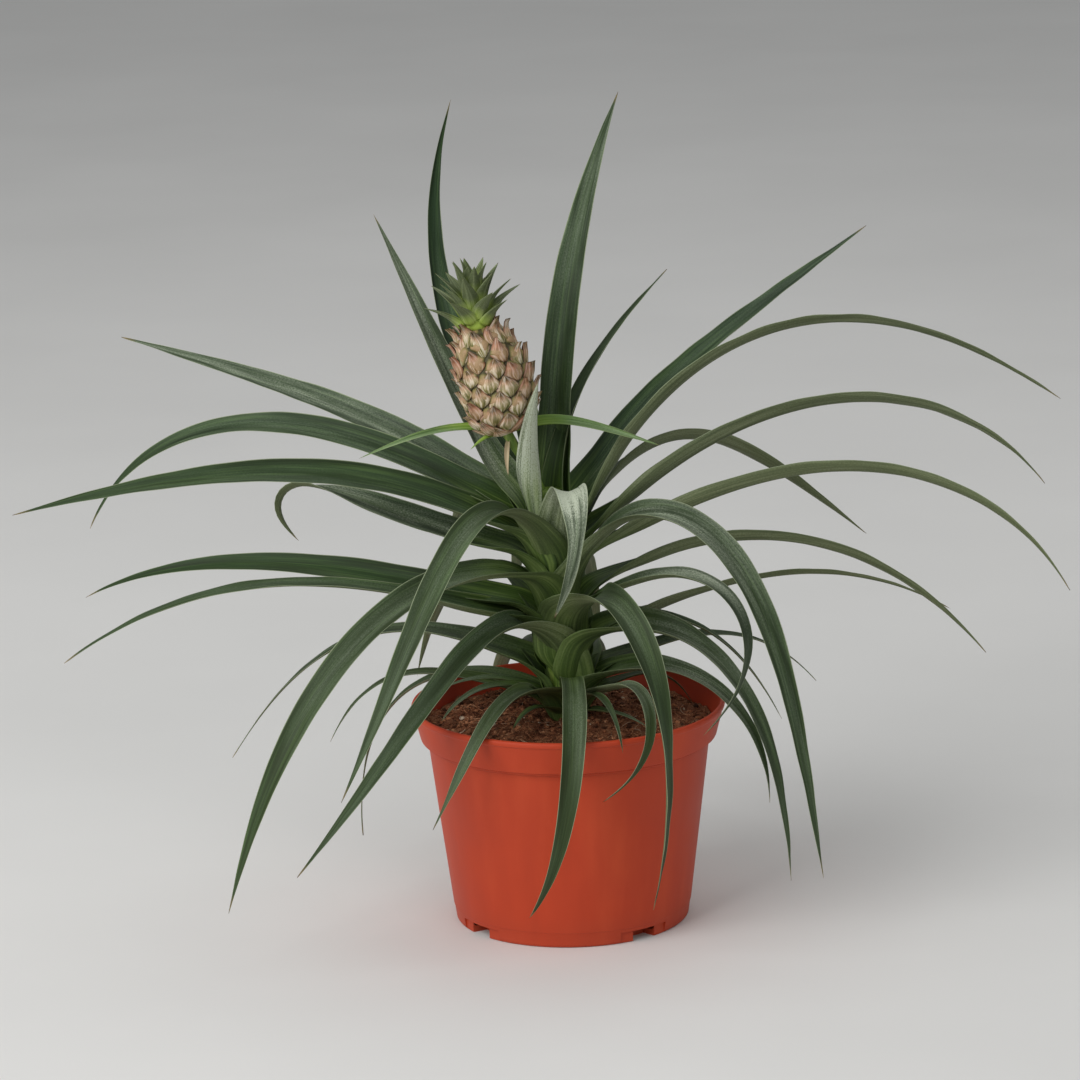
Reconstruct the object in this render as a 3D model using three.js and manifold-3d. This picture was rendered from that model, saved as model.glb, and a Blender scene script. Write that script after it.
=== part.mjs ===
// Potted pineapple plant: a rosette of channelled leaves on a short stem, with one young fruit on
// its stalk, growing in a plastic nursery pot.
// Millimetres, +Z up. The origin is the middle of the pot's underside.
import * as THREE from 'three';
import { mergeVertices } from 'three/addons/utils/BufferGeometryUtils.js';
import Module from 'manifold-3d';

const wasm = await Module();
wasm.setup();

// ---------- driving dimensions ----------

const CLEARANCE = 0.3; // between neighbouring pieces

const POT_HEIGHT = 106;
const RIM_RADIUS = 75;
const LIP_RADIUS = 70.9; // outside of the lip band at its lower edge
const LIP_BOTTOM = 90;
const WALL_TOP_RADIUS = 67.6; // outside of the wall just under the lip
const FOOT_RADIUS = 56;
const POT_WALL = 1.6;
const POT_FLOOR = 2;
const POT_SIDES = 48;

const DRAIN_HEIGHT = 5;
const DRAIN_LENGTH = 13;
const DRAIN_ANGLES = [37, 127, 217, 307];
const STEP_LENGTH = 27; // the shallow step that a drain opening sits in, round the foot
const STEP_DEPTH = 0.4;

const SOIL_EDGE = 95;
const SOIL_CROWN = 99.5;

const STEM_BOTTOM = 66;
const STEM_TOP = 208;
const STEM_RADIUS = 11; // at the soil; above it the packed leaf bases make it thicker
const STEM_LEAN = 0.07; // sideways shift per millimetre of height above the soil
const LEAN_START = 100;
const STEM_SIDES = 20;

const FRUIT_BASE = new THREE.Vector3(-27, -4, 239.5);
const FRUIT_TOP = new THREE.Vector3(-39, -4, 289.5);
const FRUIT_RADIUS = 20;
// share of the fruit's height, share of its greatest radius
const FRUIT_OUTLINE = [
  [0.06, 0.62], [0.16, 0.84], [0.3, 0.97], [0.45, 1], [0.6, 0.97], [0.75, 0.86], [0.88, 0.68],
  [0.96, 0.52],
];

const STALK_RADIUS = 2.2;

// ---------- solids: cutting and joining ----------

// A closed geometry as a Manifold solid.
function solid(geometry) {
  const bare = geometry.clone();
  bare.deleteAttribute('normal');
  bare.deleteAttribute('uv');
  const merged = mergeVertices(bare, 1e-4);
  return new wasm.Manifold(new wasm.Mesh({
    numProp: 3,
    vertProperties: Float32Array.from(merged.attributes.position.array),
    triVerts: Uint32Array.from(merged.index.array),
  }));
}

// A Manifold solid as a geometry.
function geometryOf(manifold) {
  const mesh = manifold.getMesh();
  const geometry = new THREE.BufferGeometry();
  geometry.setAttribute('position', new THREE.BufferAttribute(mesh.vertProperties, 3));
  geometry.setIndex(new THREE.BufferAttribute(mesh.triVerts, 1));
  geometry.computeVertexNormals();
  return geometry;
}

// The biggest of the separate bodies that a cut leaves.
function largest(manifold) {
  const bodies = manifold.decompose();
  return bodies.reduce((best, body) => (body.volume() > best.volume() ? body : best));
}

// A turned shape standing along +Z, from [radius, height] points.
function turned(points, sides) {
  const outline = points.map(([radius, height]) => new THREE.Vector2(radius, height));
  return new THREE.LatheGeometry(outline, sides).rotateX(Math.PI / 2);
}

// ---------- the scene graph ----------

const group = new THREE.Group();
group.name = 'potted_pineapple_plant';

function place(name, geometry, colour, roughness) {
  const material = new THREE.MeshStandardMaterial({ color: colour, roughness, metalness: 0 });
  const mesh = new THREE.Mesh(geometry, material);
  mesh.name = name;
  group.add(mesh);
}

// ---------- pot ----------

// One moulded shell: flat floor, tapered wall, a step out to the lip band, and an open top.
function potSolid() {
  const outer = [
    [0, 0],
    [FOOT_RADIUS - 1.5, 0],
    [FOOT_RADIUS, 1.5],
    [WALL_TOP_RADIUS, LIP_BOTTOM - 1.5],
    [LIP_RADIUS, LIP_BOTTOM],
    [RIM_RADIUS - 0.6, POT_HEIGHT - 3],
    [RIM_RADIUS, POT_HEIGHT - 1],
    [RIM_RADIUS - 1, POT_HEIGHT],
  ];
  const inner = [
    [RIM_RADIUS - 2.4, POT_HEIGHT - 0.4],
    [LIP_RADIUS - POT_WALL, LIP_BOTTOM + 1],
    [WALL_TOP_RADIUS - POT_WALL, LIP_BOTTOM - 1],
    [FOOT_RADIUS - POT_WALL, POT_FLOOR],
    [0, POT_FLOOR],
  ];
  let pot = solid(turned([...outer, ...inner], POT_SIDES));
  for (const angle of DRAIN_ANGLES) {
    pot = pot.subtract(footCutter(angle, DRAIN_LENGTH, 2 * DRAIN_HEIGHT));
    pot = pot.subtract(stepCutter(angle));
  }
  return pot;
}

// A block across the foot ring, centred on the ground plane.
function footCutter(angle, length, height) {
  const block = new THREE.BoxGeometry(9, length, height);
  block.translate(FOOT_RADIUS, 0, 0);
  block.rotateZ(THREE.MathUtils.degToRad(angle));
  return solid(block);
}

// A curved block that takes a thin layer off the outside of the foot, round a drain opening.
function stepCutter(angle) {
  const half = STEP_LENGTH / FOOT_RADIUS / 2;
  const start = THREE.MathUtils.degToRad(angle) - half;
  const arc = new THREE.Shape();
  arc.absarc(0, 0, FOOT_RADIUS + 4, start, start + 2 * half, false);
  arc.absarc(0, 0, FOOT_RADIUS - STEP_DEPTH, start + 2 * half, start, true);
  const block = new THREE.ExtrudeGeometry(arc, {
    depth: 2 * DRAIN_HEIGHT, bevelEnabled: false, curveSegments: 6, steps: 1,
  });
  block.translate(0, 0, -DRAIN_HEIGHT);
  return solid(block);
}

place('pot', geometryOf(potSolid()), 0xb9492c, 0.55);

// ---------- stem ----------

// Sideways position of the stem's axis at a height.
function axisShift(height) {
  return -STEM_LEAN * Math.max(0, height - LEAN_START);
}

// A turned shape bent over with the stem's lean.
function leaned(geometry) {
  const position = geometry.attributes.position;
  for (let i = 0; i < position.count; i += 1) {
    position.setX(i, position.getX(i) + axisShift(position.getZ(i)));
  }
  return geometry;
}

function stemGeometry(extra) {
  return leaned(turned([
    [0, STEM_BOTTOM - extra],
    [STEM_RADIUS - 3 + extra, STEM_BOTTOM - extra],
    [STEM_RADIUS + extra, STEM_BOTTOM + 12],
    [STEM_RADIUS + extra, LEAN_START],
    [STEM_RADIUS + 3 + extra, 122],
    [STEM_RADIUS + 3 + extra, 145],
    [STEM_RADIUS + 1 + extra, 168],
    [STEM_RADIUS - 2 + extra, 190],
    [STEM_RADIUS - 5 + extra, STEM_TOP - 2],
    [STEM_RADIUS - 8 + extra, STEM_TOP + extra],
    [0, STEM_TOP + extra],
  ], STEM_SIDES));
}

place('stem', stemGeometry(0), 0x6f8a3c, 0.7);

// ---------- soil ----------

// The root ball fills the pot and has a socket for the foot of the stem.
function soilSolid() {
  const wallAt = (height) => {
    const rise = (height - 1.5) / (LIP_BOTTOM - 3);
    return FOOT_RADIUS + (WALL_TOP_RADIUS - FOOT_RADIUS) * rise - POT_WALL - 2 * CLEARANCE;
  };
  const floor = POT_FLOOR + CLEARANCE;
  const body = turned([
    [0, floor],
    [wallAt(floor) - 3, floor],
    [wallAt(floor + DRAIN_HEIGHT) - 6, floor + DRAIN_HEIGHT],
    [wallAt(LIP_BOTTOM - 2), LIP_BOTTOM - 2],
    [wallAt(LIP_BOTTOM - 2) + 1.5, SOIL_EDGE],
    [STEM_RADIUS * 4, SOIL_EDGE + 3],
    [STEM_RADIUS * 2, SOIL_CROWN],
    [0, SOIL_CROWN],
  ], POT_SIDES);
  return solid(body).subtract(solid(stemGeometry(CLEARANCE)));
}

place('soil', geometryOf(soilSolid()), 0x5d3a2a, 0.95);

// ---------- fruit stalk ----------

// The stalk curves out of the top of the stem and up to the underside of the fruit.
const stalkPath = new THREE.CatmullRomCurve3([
  new THREE.Vector3(axisShift(STEM_TOP), 0, STEM_TOP - 2),
  new THREE.Vector3(-13, -1.5, 216),
  new THREE.Vector3(-20, -3.5, 228),
  new THREE.Vector3(FRUIT_BASE.x - 0.5, FRUIT_BASE.y, FRUIT_BASE.z + 2),
]);

function stalkGeometry(extra) {
  const section = new THREE.Shape().absarc(0, 0, STALK_RADIUS + extra, 0, 2 * Math.PI);
  return new THREE.ExtrudeGeometry(section, {
    curveSegments: 4, steps: 8, bevelEnabled: false, extrudePath: stalkPath,
  });
}

// ---------- the fruit's own axis ----------

// A shape made standing on the ground plane, moved to a point on the fruit's leaning axis.
function onFruitAxis(geometry, point) {
  const lean = FRUIT_TOP.clone().sub(FRUIT_BASE).normalize();
  const turn = new THREE.Quaternion().setFromUnitVectors(new THREE.Vector3(0, 0, 1), lean);
  return geometry.applyQuaternion(turn).translate(point.x, point.y, point.z);
}

// A plump barrel with flat ends for the stalk and the crown.
function fruitGeometry(extra) {
  const height = FRUIT_TOP.distanceTo(FRUIT_BASE);
  const outline = [[0, -extra], [7 + extra, -extra]];
  for (const [share, width] of FRUIT_OUTLINE) {
    outline.push([FRUIT_RADIUS * width + extra, height * share]);
  }
  outline.push([8 + extra, height + extra], [0, height + extra]);
  return onFruitAxis(turned(outline, 24), FRUIT_BASE);
}

const stemCutter = solid(stemGeometry(CLEARANCE));
const stalkCutter = solid(stalkGeometry(CLEARANCE));
const fruitCutter = solid(fruitGeometry(CLEARANCE));
const stalk = largest(solid(stalkGeometry(0)).subtract(stemCutter).subtract(fruitCutter));
place('fruit_stalk', geometryOf(stalk), 0x8c9a4a, 0.6);
place('fruit', fruitGeometry(0), 0xb59a78, 0.6);

// ---------- leaves ----------

// Each leaf: name, bearing (degrees, 0 = +X, 90 = +Y), height of its base, length, pitch at the
// base and at the tip, where along it the bend sits and how far the bend spreads (both as a share
// of the length), sideways sweep of the tip, flat width, and roll about its own midrib.
// Upper leaves come first: each lower leaf is cut clear of those inside it.
const LEAVES = [
  ['leaf_heart_pale', 215, 190, 78, 76, 92, 0.5, 0.6, 16, 14, -60],
  ['leaf_heart_narrow', 48, 197, 40, 108, 68, 0.25, 0.1, 4, 9, 0],
  ['leaf_upright_1', 66, 201, 210, 89, 42, 0.5, 0.45, -1, 20, -10],
  ['leaf_upright_2', 122, 191, 237, 38, 99, 0.8, 0.3, -33, 18, 0],
  ['leaf_upright_3', 139, 197, 166, 34, 60, 0.15, 0.15, 6, 15, 25],
  ['leaf_upright_4', 56, 189, 151, 110, 30, 0.15, 0.4, -12, 12, 20],
  ['leaf_left_01', 146, 191, 258, 33, 7, 0.1, 0.45, -1, 19, 30],
  ['leaf_left_02', 165, 192, 258, 31, -66, 0.95, 0.6, -10, 18, 40],
  ['leaf_right_01', 41, 187, 240, 57, 21, 0.15, 0.3, 0, 20, -5],
  ['leaf_right_02', 21, 180, 317, 67, -36, 0.4, 0.45, 2, 17, 30],
  ['leaf_right_03', 44, 184, 236, 47, -38, 0.3, 0.27, -8, 14, 35],
  ['leaf_back_1', 103, 184, 195, 62, -20, 0.45, 0.5, 0, 17, 0],
  ['leaf_left_03', 189, 183, 257, 37, -12, 0.2, 0.55, 0, 19, 45],
  ['leaf_right_04', 12, 178, 276, 45, -53, 0.85, 0.85, 18, 18, 35],
  ['leaf_left_04', 176, 176, 156, 19, -130, 0.83, 0.09, -14, 17, 40],
  ['leaf_left_05', 238, 172, 224, 73, -59, 0.23, 0.22, -21, 18, 10],
  ['leaf_centre', 285, 172, 139, 80, -130, 0.48, 0.22, -9, 19, 0],
  ['leaf_right_05', 1, 173, 271, 31, -62, 0.8, 0.57, 5, 16, 40],
  ['leaf_back_2', 106, 168, 225, 40, -55, 0.4, 0.5, 0, 17, 0],
  ['leaf_back_3', 97, 162, 205, 30, -60, 0.4, 0.5, 0, 17, 0],
  ['leaf_left_06', 221, 164, 258, 33, -84, 0, 0.8, -35, 20, 20],
  ['leaf_right_06', 326, 155, 280, 79, -80, 0.25, 0.26, -2, 19, -20],
  ['leaf_right_07', 17, 155, 238, 32, -52, 0.3, 0.95, 0, 14, 35],
  ['leaf_left_07', 170, 151, 230, 13, -29, 1.2, 0.6, -6, 17, 40],
  ['leaf_right_08', 335, 150, 164, 35, -133, 0.58, 0.3, -13, 14, -10],
  ['leaf_left_08', 189, 143, 239, 21, -35, 0.75, 0.5, -3, 13, 15],
  ['leaf_back_4', 82, 146, 180, 30, -70, 0.4, 0.5, 0, 15, 0],
  ['leaf_back_5', 118, 148, 180, 25, -65, 0.4, 0.5, 0, 15, 0],
  ['leaf_right_09', 297, 140, 229, 72, -118, 0, 0.6, 5, 19, -10],
  ['leaf_right_10', 30, 135, 226, 14, -32, 0.7, 0.5, 3, 10, 30],
  ['leaf_back_6', 93, 134, 190, 25, -78, 0.4, 0.5, 0, 15, 0],
  ['leaf_right_11', 14, 132, 128, 44, -65, 0.15, 0.6, -6, 9, -10],
  ['leaf_right_12', 344, 130, 193, 54, -87, 0, 0.5, -1, 15, -20],
  ['leaf_left_09', 229, 117, 212, 102, -48, 0.12, 0.22, -32, 17, 10],
  ['leaf_left_10', 152, 119, 210, 23, -57, 0.45, 0.42, 2, 11, 20],
  ['leaf_right_13', 24, 117, 138, 19, -51, 0.7, 0.45, 0, 9, -10],
  ['leaf_back_7', 110, 118, 150, 22, -80, 0.4, 0.45, 0, 13, 0],
  ['leaf_back_8', 78, 116, 145, 22, -80, 0.4, 0.45, 0, 13, 0],
  ['leaf_front', 276, 115, 178, 35, -135, 0.38, 0.65, -27, 17, 0],
  ['leaf_right_14', 341, 111, 136, 44, -90, 0.35, 0.8, 1, 13, -20],
  ['leaf_left_11', 166, 107, 131, 14, -63, 0.65, 0.27, -9, 8, 20],
  ['leaf_left_12', 191, 110, 56, 30, -23, 0.65, 0.55, 1, 7, 10],
  ['leaf_left_13', 206, 111, 64, 24, -50, 0.7, 0.45, 1, 8, 10],
  ['leaf_right_15', 302, 107, 138, 25, -140, 0.65, 0.2, -27, 10, 0],
  ['leaf_left_14', 153, 106, 172, 22, -90, 0.45, 0.45, -9, 8, 20],
  ['leaf_left_15', 242, 108, 123, 31, -60, 0.4, 0.28, -17, 12, 0],
  ['leaf_right_16', 20, 107, 70, 20, -58, 0.6, 0.28, 9, 7, 0],
  ['leaf_right_17', 288, 107, 82, 27, -72, 0.8, 0.4, 1, 6, 0],
  ['leaf_right_18', 309, 104, 48, 8, -16, 0.7, 0.3, 3, 6, 0],
  ['leaf_left_16', 239, 104, 35, 20, -79, 0.8, 0.3, -8, 6, 0],
];

const BLADE_THICKNESS = 1.8;
const BASE_INSET = 3; // how far inside the stem's surface a leaf's midrib starts
const FINE_STEPS = 48;

// Share of the whole bend that is done by t: an S-curve centred at `at` and `spread` wide.
function bendDone(t, at, spread) {
  const before = Math.tanh(-at / spread);
  const after = Math.tanh((1 - at) / spread);
  return (Math.tanh((t - at) / spread) - before) / (after - before);
}

// Points and frames along a leaf's midrib, from base to tip.
function midrib(leaf, stations, base) {
  const [, bearing, , length, rise, fall, at, spread, sweep] = leaf;
  const turn = THREE.MathUtils.degToRad(bearing);
  const outward = new THREE.Vector3(Math.cos(turn), Math.sin(turn), 0);
  const side = new THREE.Vector3(-Math.sin(turn), Math.cos(turn), 0);
  const step = length / FINE_STEPS;
  const trail = [base.clone()];
  const plane = base.clone();
  for (let i = 0; i < FINE_STEPS; i += 1) {
    const bend = bendDone((i + 0.5) / FINE_STEPS, at, spread);
    const pitch = THREE.MathUtils.degToRad(rise + (fall - rise) * bend);
    plane.addScaledVector(outward, step * Math.cos(pitch));
    plane.z += step * Math.sin(pitch);
    const share = (i + 1) / FINE_STEPS;
    trail.push(plane.clone().addScaledVector(side, sweep * share * share));
  }
  const rib = [];
  for (let k = 0; k <= stations; k += 1) {
    const i = Math.round((k / stations) * FINE_STEPS);
    const ahead = trail[Math.min(i + 1, FINE_STEPS)];
    const behind = trail[Math.max(i - 1, 0)];
    const along = ahead.clone().sub(behind).normalize();
    const across = side.clone().addScaledVector(along, -side.dot(along)).normalize();
    const up = along.clone().cross(across);
    rib.push({ t: k / stations, point: trail[i], across, up });
  }
  return rib;
}

// Half of the flat width at t: a little narrower where it leaves the stem, and drawn out to a tip.
function halfWidth(t, width, length) {
  const taper = (1 - t ** 2.2) ** 1.1;
  const neck = Math.min(1, 0.6 + (t * length) / 60);
  return 0.25 + 0.5 * width * taper * neck;
}

// How far each half of the blade is raised from flat: a deep channel that opens towards the tip.
function foldAngle(t) {
  return THREE.MathUtils.degToRad(14 + 34 * (1 - t) ** 2);
}

// A closed channelled blade. With `extra` it is thicker and wider all round, for cutting others.
function bladeGeometry(leaf, extra, base, stations) {
  const [, , , length, , , , , , width, roll] = leaf;
  const turn = THREE.MathUtils.degToRad(roll);
  const points = [];
  for (const { t, point, across, up } of midrib(leaf, stations, base)) {
    const half = halfWidth(t, width, length) + extra;
    const fold = foldAngle(t);
    const thick = (BLADE_THICKNESS * (1 - 0.75 * t)) / 2 + extra;
    const face = up.clone().multiplyScalar(Math.cos(turn)).addScaledVector(across, Math.sin(turn));
    const flat = across.clone().multiplyScalar(Math.cos(turn)).addScaledVector(up, -Math.sin(turn));
    const corner = (sideways, raised) => point.clone()
      .addScaledVector(flat, sideways)
      .addScaledVector(face, raised);
    const lift = (half * Math.sin(fold)) / 2; // the midline runs halfway up the channel
    const reach = half * Math.cos(fold);
    const keel = corner(0, -lift - thick);
    const channel = corner(0, -lift + thick);
    if (extra > 0) {
      points.push([
        corner(-reach, lift - extra), keel, corner(reach, lift - extra),
        corner(reach, lift + extra), channel, corner(-reach, lift + extra),
      ]);
    } else {
      points.push([corner(-reach, lift), keel, corner(reach, lift), channel]);
    }
  }
  return loft(points);
}

// A closed skin over rings of points, all with the same count.
function loft(rings) {
  const count = rings[0].length;
  const positions = rings.flat().flatMap((p) => [p.x, p.y, p.z]);
  const index = [];
  for (let k = 0; k + 1 < rings.length; k += 1) {
    for (let i = 0; i < count; i += 1) {
      const a = k * count + i;
      const b = k * count + ((i + 1) % count);
      index.push(a, b, b + count, a, b + count, a + count);
    }
  }
  const last = (rings.length - 1) * count;
  for (let i = 1; i + 1 < count; i += 1) {
    index.push(0, i + 1, i);
    index.push(last, last + i, last + i + 1);
  }
  const geometry = new THREE.BufferGeometry();
  geometry.setAttribute('position', new THREE.Float32BufferAttribute(positions, 3));
  geometry.setIndex(index);
  return geometry;
}

// Where a leaf's midrib starts, just inside the surface of the stem.
function leafBase([, bearing, height]) {
  const turn = THREE.MathUtils.degToRad(bearing);
  const radius = STEM_RADIUS - BASE_INSET;
  return new THREE.Vector3(
    axisShift(height) + radius * Math.cos(turn),
    radius * Math.sin(turn),
    height,
  );
}

const leafGreen = new THREE.Color(0x3f5f45);
const leafOlive = new THREE.Color(0x76805c);
const cutters = [stemCutter, stalkCutter, fruitCutter];
for (const leaf of LEAVES) {
  const stations = leaf[3] > 100 ? 12 : 8;
  let blade = solid(bladeGeometry(leaf, 0, leafBase(leaf), stations));
  for (const cutter of cutters) {
    blade = blade.subtract(cutter);
  }
  blade = largest(blade);
  cutters.push(solid(bladeGeometry(leaf, CLEARANCE, leafBase(leaf), stations)));
  const shade = leafGreen.clone().lerp(leafOlive, Math.max(0, Math.cos(leaf[1] * Math.PI / 180)));
  place(leaf[0], geometryOf(blade), shade, 0.5);
}

// ---------- bracts on the stalk ----------

// Small leaves on the stalk, listed as the leaves are, with the second number the share of the
// way up the stalk in place of a height.
const BRACTS = [
  ['bract_right', 8, 0.93, 74, 22, -20, 0.2, 0.3, -6, 7, -35],
  ['bract_left', 186, 0.95, 70, 12, -22, 0.3, 0.4, 0, 5, 30],
  ['bract_small', 215, 0.9, 21, 8, -35, 0.5, 0.4, 0, 4, 0],
  ['bract_dry', 250, 0.85, 18, -55, -78, 0.5, 0.6, 2, 3, 0],
];

for (const bract of BRACTS) {
  const [name, bearing, share] = bract;
  const turn = THREE.MathUtils.degToRad(bearing);
  const reach = STALK_RADIUS + CLEARANCE;
  const base = stalkPath.getPointAt(share);
  base.x += reach * Math.cos(turn);
  base.y += reach * Math.sin(turn);
  let blade = solid(bladeGeometry(bract, 0, base, 7)).subtract(stalkCutter);
  blade = largest(blade.subtract(fruitCutter));
  place(name, geometryOf(blade), 0x9bb25a, 0.5);
}

// ---------- crown ----------

// The tuft on top of the fruit: a short core with rings of small pointed leaves, in one piece.
const CROWN_RINGS = [
  { count: 6, height: 3, length: 19, rise: 45, fall: 10, width: 8 },
  { count: 6, height: 7, length: 22, rise: 62, fall: 32, width: 9 },
  { count: 5, height: 12, length: 21, rise: 72, fall: 45, width: 9 },
  { count: 4, height: 16, length: 19, rise: 80, fall: 62, width: 8 },
];

function crownSolid() {
  let crown = solid(turned([[0, 0], [7.5, 0], [8, 4], [6.5, 12], [3, 20], [0, 22]], 12));
  CROWN_RINGS.forEach((ring, level) => {
    for (let k = 0; k < ring.count; k += 1) {
      const bearing = ((k + 0.5 * level) * 360) / ring.count;
      const turn = THREE.MathUtils.degToRad(bearing);
      const shape = ['', bearing, 0, ring.length, ring.rise, ring.fall, 0.5, 0.8, 0, ring.width, 0];
      const base = new THREE.Vector3(4 * Math.cos(turn), 4 * Math.sin(turn), ring.height);
      crown = crown.add(solid(bladeGeometry(shape, 0, base, 4)));
    }
  });
  return largest(crown);
}

const crownFoot = FRUIT_TOP.clone().lerp(FRUIT_BASE, -0.4 / FRUIT_TOP.distanceTo(FRUIT_BASE));
place('crown', onFruitAxis(geometryOf(crownSolid()), crownFoot), 0x7f9a5a, 0.5);

export default group;
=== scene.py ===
"""A pineapple plant growing in a nursery pot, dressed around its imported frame.

Sizes inside the sections are millimetres; settle() turns each finished piece into metres.
"""
import math
import random

import bmesh
import bpy
from mathutils import Matrix, Vector, kdtree, noise


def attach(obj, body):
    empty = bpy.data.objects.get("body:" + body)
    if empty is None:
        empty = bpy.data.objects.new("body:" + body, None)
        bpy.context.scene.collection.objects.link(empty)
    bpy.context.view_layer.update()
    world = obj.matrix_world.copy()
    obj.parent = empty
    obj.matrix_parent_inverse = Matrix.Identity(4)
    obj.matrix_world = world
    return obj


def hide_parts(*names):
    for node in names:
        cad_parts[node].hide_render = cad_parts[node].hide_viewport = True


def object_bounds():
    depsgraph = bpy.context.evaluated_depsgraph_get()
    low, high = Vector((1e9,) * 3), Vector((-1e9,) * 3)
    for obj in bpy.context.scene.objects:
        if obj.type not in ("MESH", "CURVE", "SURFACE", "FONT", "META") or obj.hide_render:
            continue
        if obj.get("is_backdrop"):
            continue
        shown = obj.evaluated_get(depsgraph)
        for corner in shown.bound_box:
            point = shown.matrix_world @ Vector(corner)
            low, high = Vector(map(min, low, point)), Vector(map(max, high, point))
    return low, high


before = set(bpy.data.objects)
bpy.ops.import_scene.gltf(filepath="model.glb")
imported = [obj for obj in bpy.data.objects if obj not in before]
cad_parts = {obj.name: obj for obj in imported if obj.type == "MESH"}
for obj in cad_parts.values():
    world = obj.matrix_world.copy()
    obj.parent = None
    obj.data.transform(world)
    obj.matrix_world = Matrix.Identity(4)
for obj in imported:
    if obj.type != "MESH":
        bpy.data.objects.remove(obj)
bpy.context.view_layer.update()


# ---------- the pot ----------
# A round nursery pot, injection-moulded in one piece from terracotta-coloured polypropylene. The wall
# tapers to the foot, a lip band steps out under the rim, and gaps in the foot let the water out.

MM = 0.001
FOOT_RADIUS = 56
FIRST_DRAIN = 37  # degrees round to the first of the four gaps
DRAIN_LENGTH = 13
DRAIN_HEIGHT = 5
DRAIN_DEPTH = 8  # in from the outside of the foot
STEP_LENGTH = 27
STEP_DEPTH = 0.6
STEP_OVER = 0.6  # the step stands this much higher than the gap
CUT_OUT = 5  # how far the cutters stand out past the foot
CUT_UNDER = 3  # and how far they reach below it
POT_SIDES = 180


def srgb(code, alpha=1.0):
    """A hex colour as the linear colour that a socket takes."""
    parts = [int(code[i:i + 2], 16) / 255 for i in (1, 3, 5)]
    linear = [p / 12.92 if p <= 0.04045 else ((p + 0.055) / 1.055) ** 2.4 for p in parts]
    return (*linear, alpha)


def add_node(tree, kind, inputs=(), ramp=(), **settings):
    """Adds a node: its settings, its values and links by socket, and a ramp's (place, colour) stops."""
    made = tree.nodes.new("ShaderNode" + kind)
    for key, value in settings.items():
        setattr(made, key, value)
    for key, value in dict(inputs).items():
        if isinstance(value, bpy.types.NodeSocket):
            tree.links.new(value, made.inputs[key])
        else:
            made.inputs[key].default_value = value
    if ramp:
        stops = made.color_ramp.elements
        while len(stops) < len(ramp):
            stops.new(0.5)
        for stop, (place, colour) in zip(stops, ramp):
            stop.position = place
            stop.color = srgb(colour) if isinstance(colour, str) else (colour,) * 3 + (1,)
    return made


def new_material(name):
    """A material with its shader, and the node tree to fill in."""
    material = bpy.data.materials.new(name)
    material.use_nodes = True
    return material, material.node_tree, material.node_tree.nodes["Principled BSDF"]


def turned(profile, steps):
    """A profile of (radius, height) points spun round +Z into a closed skin."""
    bm = bmesh.new()
    corners = [bm.verts.new((radius, 0, height)) for radius, height in profile]
    sides = [bm.edges.new(pair) for pair in zip(corners, corners[1:])]
    bmesh.ops.spin(bm, geom=corners + sides, cent=(0, 0, 0), axis=(0, 0, 1), dvec=(0, 0, 0),
                   angle=2 * math.pi, steps=steps, use_merge=True)
    bmesh.ops.remove_doubles(bm, verts=bm.verts, dist=1e-4)
    bmesh.ops.recalc_face_normals(bm, faces=bm.faces)
    return bm


def settle(bm, name, material, slot, *nodes, sharp=None):
    """Makes the piece's object in metres and ties it to the frame."""
    bmesh.ops.scale(bm, vec=(MM, MM, MM), verts=bm.verts)
    mesh = bpy.data.meshes.new(name)
    bm.to_mesh(mesh)
    bm.free()
    mesh.materials.append(material)
    mesh.shade_smooth()
    if sharp is not None:
        mesh.set_sharp_from_angle(angle=math.radians(sharp))
    piece = bpy.data.objects.new(name, mesh)
    bpy.context.scene.collection.objects.link(piece)
    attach(piece, "root")
    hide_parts(*nodes)


# Moulded polypropylene: satin, with the faint flow lines and scuffs of a thin moulding.
polypropylene, tree, shader = new_material("moulded polypropylene")
place = add_node(tree, "TexCoord").outputs["Object"]
stretched = add_node(tree, "Mapping", {"Vector": place, "Scale": (1, 1, 0.12)}).outputs["Vector"]
flow = add_node(tree, "TexNoise", {"Vector": stretched, "Scale": 90, "Detail": 3}).outputs["Fac"]
cloud = add_node(tree, "TexNoise", {"Vector": place, "Scale": 22, "Detail": 4}).outputs["Fac"]
grain = add_node(tree, "TexNoise", {"Vector": place, "Scale": 2400, "Detail": 2}).outputs["Fac"]
mottle = add_node(tree, "MixRGB", {"Fac": 0.5, "Color1": cloud, "Color2": flow}).outputs["Color"]
colour = add_node(tree, "ValToRGB", {"Fac": mottle}, ramp=[
    (0.3, "#B23C1F"), (0.5, "#BA4021"), (0.7, "#C34927")]).outputs["Color"]
# dust and peat stains that gather low on the wall
height = add_node(tree, "SeparateXYZ", {"Vector": place}).outputs["Z"]
low = add_node(tree, "MapRange", {"Value": height, "From Min": 0.016, "From Max": 0.0, "To Max": 0.35})
stain = add_node(tree, "Math", {0: low.outputs["Result"], 1: cloud}, operation="MULTIPLY")
colour = add_node(tree, "MixRGB", {
    "Fac": stain.outputs["Value"], "Color1": colour, "Color2": srgb("#8E4A36")}).outputs["Color"]
tree.links.new(colour, shader.inputs["Base Color"])
rough = add_node(tree, "MapRange", {"Value": cloud, "From Min": 0.3, "From Max": 0.7,
                                    "To Min": 0.46, "To Max": 0.6}).outputs["Result"]
tree.links.new(rough, shader.inputs["Roughness"])
shader.inputs["Specular IOR Level"].default_value = 0.28
skin = add_node(tree, "Bump", {"Height": grain, "Strength": 0.12, "Distance": 0.0002}).outputs["Normal"]
skin = add_node(tree, "Bump", {"Height": flow, "Strength": 0.15, "Distance": 0.0006,
                               "Normal": skin}).outputs["Normal"]
tree.links.new(skin, shader.inputs["Normal"])

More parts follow.
